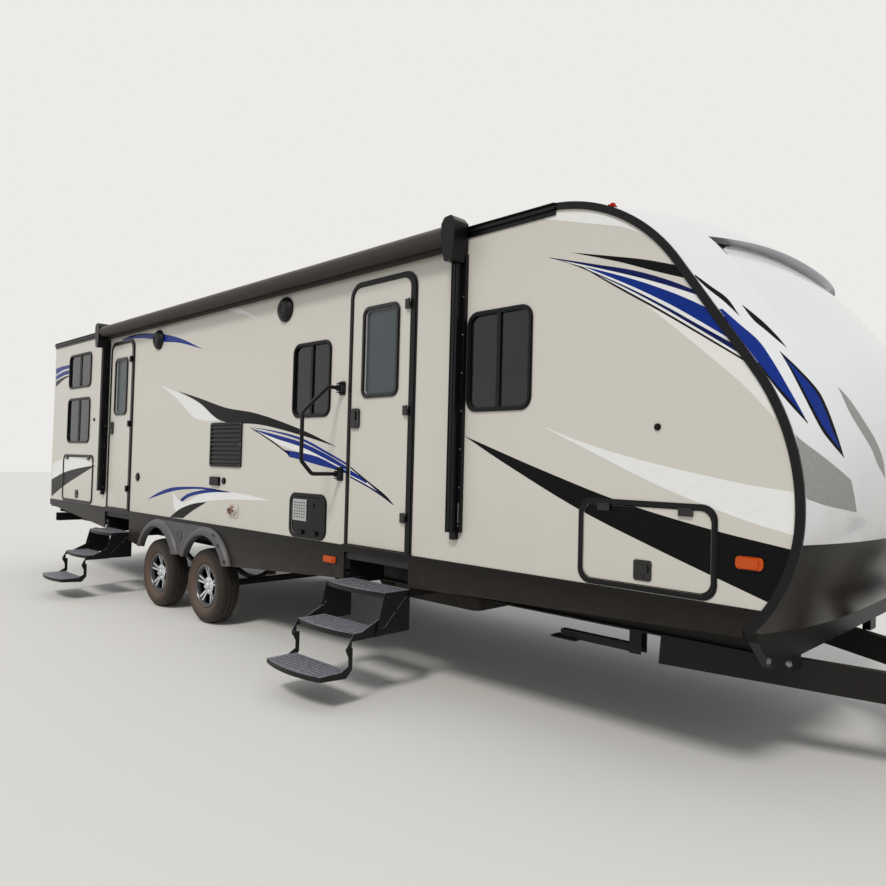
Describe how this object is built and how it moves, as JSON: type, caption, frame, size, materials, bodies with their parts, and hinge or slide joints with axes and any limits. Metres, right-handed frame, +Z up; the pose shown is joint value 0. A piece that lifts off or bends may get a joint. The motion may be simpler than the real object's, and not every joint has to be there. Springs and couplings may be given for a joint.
{
  "type": "travel caravan",
  "caption": "Long two-axle travel caravan with a rounded white front shell, side doors over folding steps, bunk windows, a rolled awning and a drawbar with a jack.",
  "frame": {"origin": "underside of the tongue jack's foot, on the ground and the centre line", "axes": "+X ahead along the drawbar, +Y to the left, +Z up; the door side faces -Y"},
  "size_m": [10.461, 3.1745, 3.375],
  "materials": {
    "wall_panel": "satin fibreglass skin, warm greige",
    "shell_white": "glossy white moulded shell",
    "roof_membrane": "matt white membrane",
    "black_trim": "black edge bead and frames",
    "dark_skirt": "semi-gloss dark brown sheet",
    "black_door": "semi-gloss black",
    "charcoal_plastic": "grained charcoal plastic",
    "chassis_black": "black chassis paint",
    "bare_steel": "dull zinc plate",
    "alloy": "machined silver over black pockets",
    "tyre": "black tread rubber",
    "tinted_glass": "dark tinted",
    "awning_fabric": "grey-brown rolled fabric",
    "white_plastic": "white moulded plastic",
    "wood_floor": "coated board",
    "lamp_lens": "red and amber lenses",
    "belly_board": "black corrugated sheet"
  },
  "bodies": {
    "caravan": {"floor": "wood_floor", "side_wall_right": "wall_panel", "side_wall_left": "wall_panel", "rear_wall": "wall_panel", "roof": "roof_membrane", "front_cap": "shell_white", "nose_panel": "black_door", "edge_trims": "black_trim", "skirts": "dark_skirt", "fenders": "charcoal_plastic", "chassis_rails": "chassis_black", "frame_brackets": "chassis_black", "underbelly": "belly_board", "a_frame": "chassis_black", "coupler": "chassis_black", "jack_tube": "chassis_black", "gas_bottles": "white_plastic", "battery_box": "black_trim", "axles": "chassis_black", "suspension": "chassis_black", "door_frames": "black_trim", "hatch_frames": "black_trim", "window_frames": "black_trim", "window_glass": "tinted_glass", "awning_roller": "awning_fabric", "awning_arms": "black_trim", "wall_fittings": "black_trim", "lamps": "lamp_lens", "air_conditioner": "white_plastic", "vent_hood": "white_plastic", "rear_bumper": "chassis_black"},
    "main_door": {"main_door": "wall_panel", "main_door_glass": "tinted_glass"},
    "rear_door": {"rear_door": "wall_panel", "rear_door_glass": "tinted_glass"},
    "rear_storage_lid": {"rear_storage_lid": "wall_panel"},
    "front_storage_lid_right": {"front_storage_lid_right": "wall_panel"},
    "front_storage_lid_left": {"front_storage_lid_left": "wall_panel"},
    "heater_lid": {"heater_lid": "black_door"},
    "grab_handle": {"grab_handle": "chassis_black"},
    "vent_lid": {"vent_lid": "white_plastic"},
    "jack_leg": {"jack_leg": "bare_steel"},
    "main_step_upper": {"main_step_upper": "chassis_black"},
    "main_step_middle": {"main_step_middle": "chassis_black"},
    "main_step_lower": {"main_step_lower": "chassis_black"},
    "rear_step_upper": {"rear_step_upper": "chassis_black"},
    "rear_step_middle": {"rear_step_middle": "chassis_black"},
    "rear_step_lower": {"rear_step_lower": "chassis_black"},
    "stand_rear_right": {"stand_rear_right": "chassis_black"},
    "stand_rear_left": {"stand_rear_left": "chassis_black"},
    "stand_front_right": {"stand_front_right": "chassis_black"},
    "stand_front_left": {"stand_front_left": "chassis_black"},
    "wheel_rear_right": {"wheel_rear_right": "alloy", "tyre_rear_right": "tyre"},
    "wheel_rear_left": {"wheel_rear_left": "alloy", "tyre_rear_left": "tyre"},
    "wheel_front_right": {"wheel_front_right": "alloy", "tyre_front_right": "tyre"},
    "wheel_front_left": {"wheel_front_left": "alloy", "tyre_front_left": "tyre"}
  },
  "joints": [
    {"name": "main_door_hinge", "type": "hinge", "parent": "caravan", "child": "main_door", "pos_m": [-3.084, -1.246, 1.8], "axis": [0, 0, 1], "range_deg": [0, 150]},
    {"name": "rear_door_hinge", "type": "hinge", "parent": "caravan", "child": "rear_door", "pos_m": [-7.48, -1.246, 1.8], "axis": [0, 0, 1], "range_deg": [0, 150]},
    {"name": "rear_storage_lid_hinge", "type": "hinge", "parent": "caravan", "child": "rear_storage_lid", "pos_m": [-9.004, -1.234, 1.455], "axis": [-1, 0, 0], "range_deg": [0, 100]},
    {"name": "front_storage_lid_right_hinge", "type": "hinge", "parent": "caravan", "child": "front_storage_lid_right", "pos_m": [-1.3945, -1.234, 1.31], "axis": [-1, 0, 0], "range_deg": [0, 100]},
    {"name": "front_storage_lid_left_hinge", "type": "hinge", "parent": "caravan", "child": "front_storage_lid_left", "pos_m": [-1.3945, 1.234, 1.31], "axis": [1, 0, 0], "range_deg": [0, 100]},
    {"name": "heater_lid_hinge", "type": "hinge", "parent": "caravan", "child": "heater_lid", "pos_m": [-4.1775, -1.234, 0.925], "axis": [1, 0, 0], "range_deg": [0, 110]},
    {"name": "grab_handle_pivot", "type": "hinge", "parent": "caravan", "child": "grab_handle", "pos_m": [-3.788, -1.262, 1.7], "axis": [0, 0, 1], "range_deg": [0, 90]},
    {"name": "vent_lid_hinge", "type": "hinge", "parent": "caravan", "child": "vent_lid", "pos_m": [-2.83, 0, 3.071], "axis": [0, 1, 0], "range_deg": [0, 60]},
    {"name": "jack_leg_slide", "type": "slide", "parent": "caravan", "child": "jack_leg", "axis": [0, 0, 1], "range_m": [0, 0.25]},
    {"name": "main_step_upper_slide", "type": "slide", "parent": "caravan", "child": "main_step_upper", "axis": [0, 1, 0], "range_m": [0, 0.195]},
    {"name": "main_step_middle_fold", "type": "hinge", "parent": "main_step_upper", "child": "main_step_middle", "pos_m": [-3.386, -1.395, 0.51], "axis": [1, 0, 0], "range_deg": [0, 180]},
    {"name": "main_step_lower_fold", "type": "hinge", "parent": "main_step_middle", "child": "main_step_lower", "pos_m": [-3.386, -1.65, 0.348], "axis": [1, 0, 0], "range_deg": [-180, 0]},
    {"name": "rear_step_upper_slide", "type": "slide", "parent": "caravan", "child": "rear_step_upper", "axis": [0, 1, 0], "range_m": [0, 0.195]},
    {"name": "rear_step_middle_fold", "type": "hinge", "parent": "rear_step_upper", "child": "rear_step_middle", "pos_m": [-7.757, -1.395, 0.51], "axis": [1, 0, 0], "range_deg": [0, 180]},
    {"name": "rear_step_lower_fold", "type": "hinge", "parent": "rear_step_middle", "child": "rear_step_lower", "pos_m": [-7.757, -1.65, 0.348], "axis": [1, 0, 0], "range_deg": [-180, 0]},
    {"name": "stand_rear_right_pivot", "type": "hinge", "parent": "caravan", "child": "stand_rear_right", "pos_m": [-9.1, -0.77, 0.5], "axis": [0, -1, 0], "range_deg": [0, 48]},
    {"name": "stand_rear_left_pivot", "type": "hinge", "parent": "caravan", "child": "stand_rear_left", "pos_m": [-9.1, 0.77, 0.5], "axis": [0, -1, 0], "range_deg": [0, 48]},
    {"name": "stand_front_right_pivot", "type": "hinge", "parent": "caravan", "child": "stand_front_right", "pos_m": [-1.66, -0.77, 0.5], "axis": [0, -1, 0], "range_deg": [0, 48]},
    {"name": "stand_front_left_pivot", "type": "hinge", "parent": "caravan", "child": "stand_front_left", "pos_m": [-1.66, 0.77, 0.5], "axis": [0, -1, 0], "range_deg": [0, 48]},
    {"name": "wheel_rear_right_spin", "type": "hinge", "parent": "caravan", "child": "wheel_rear_right", "pos_m": [-6.684, -1.1425, 0.3335], "axis": [0, 1, 0], "continuous": true},
    {"name": "wheel_rear_left_spin", "type": "hinge", "parent": "caravan", "child": "wheel_rear_left", "pos_m": [-6.684, 1.1425, 0.3335], "axis": [0, 1, 0], "continuous": true},
    {"name": "wheel_front_right_spin", "type": "hinge", "parent": "caravan", "child": "wheel_front_right", "pos_m": [-5.718, -1.1425, 0.3335], "axis": [0, 1, 0], "continuous": true},
    {"name": "wheel_front_left_spin", "type": "hinge", "parent": "caravan", "child": "wheel_front_left", "pos_m": [-5.718, 1.1425, 0.3335], "axis": [0, 1, 0], "continuous": true}
  ],
  "couplings": [
    {"joint": "main_step_lower_fold", "follows": "main_step_middle_fold", "ratio": -1},
    {"joint": "rear_step_lower_fold", "follows": "rear_step_middle_fold", "ratio": -1}
  ]
}
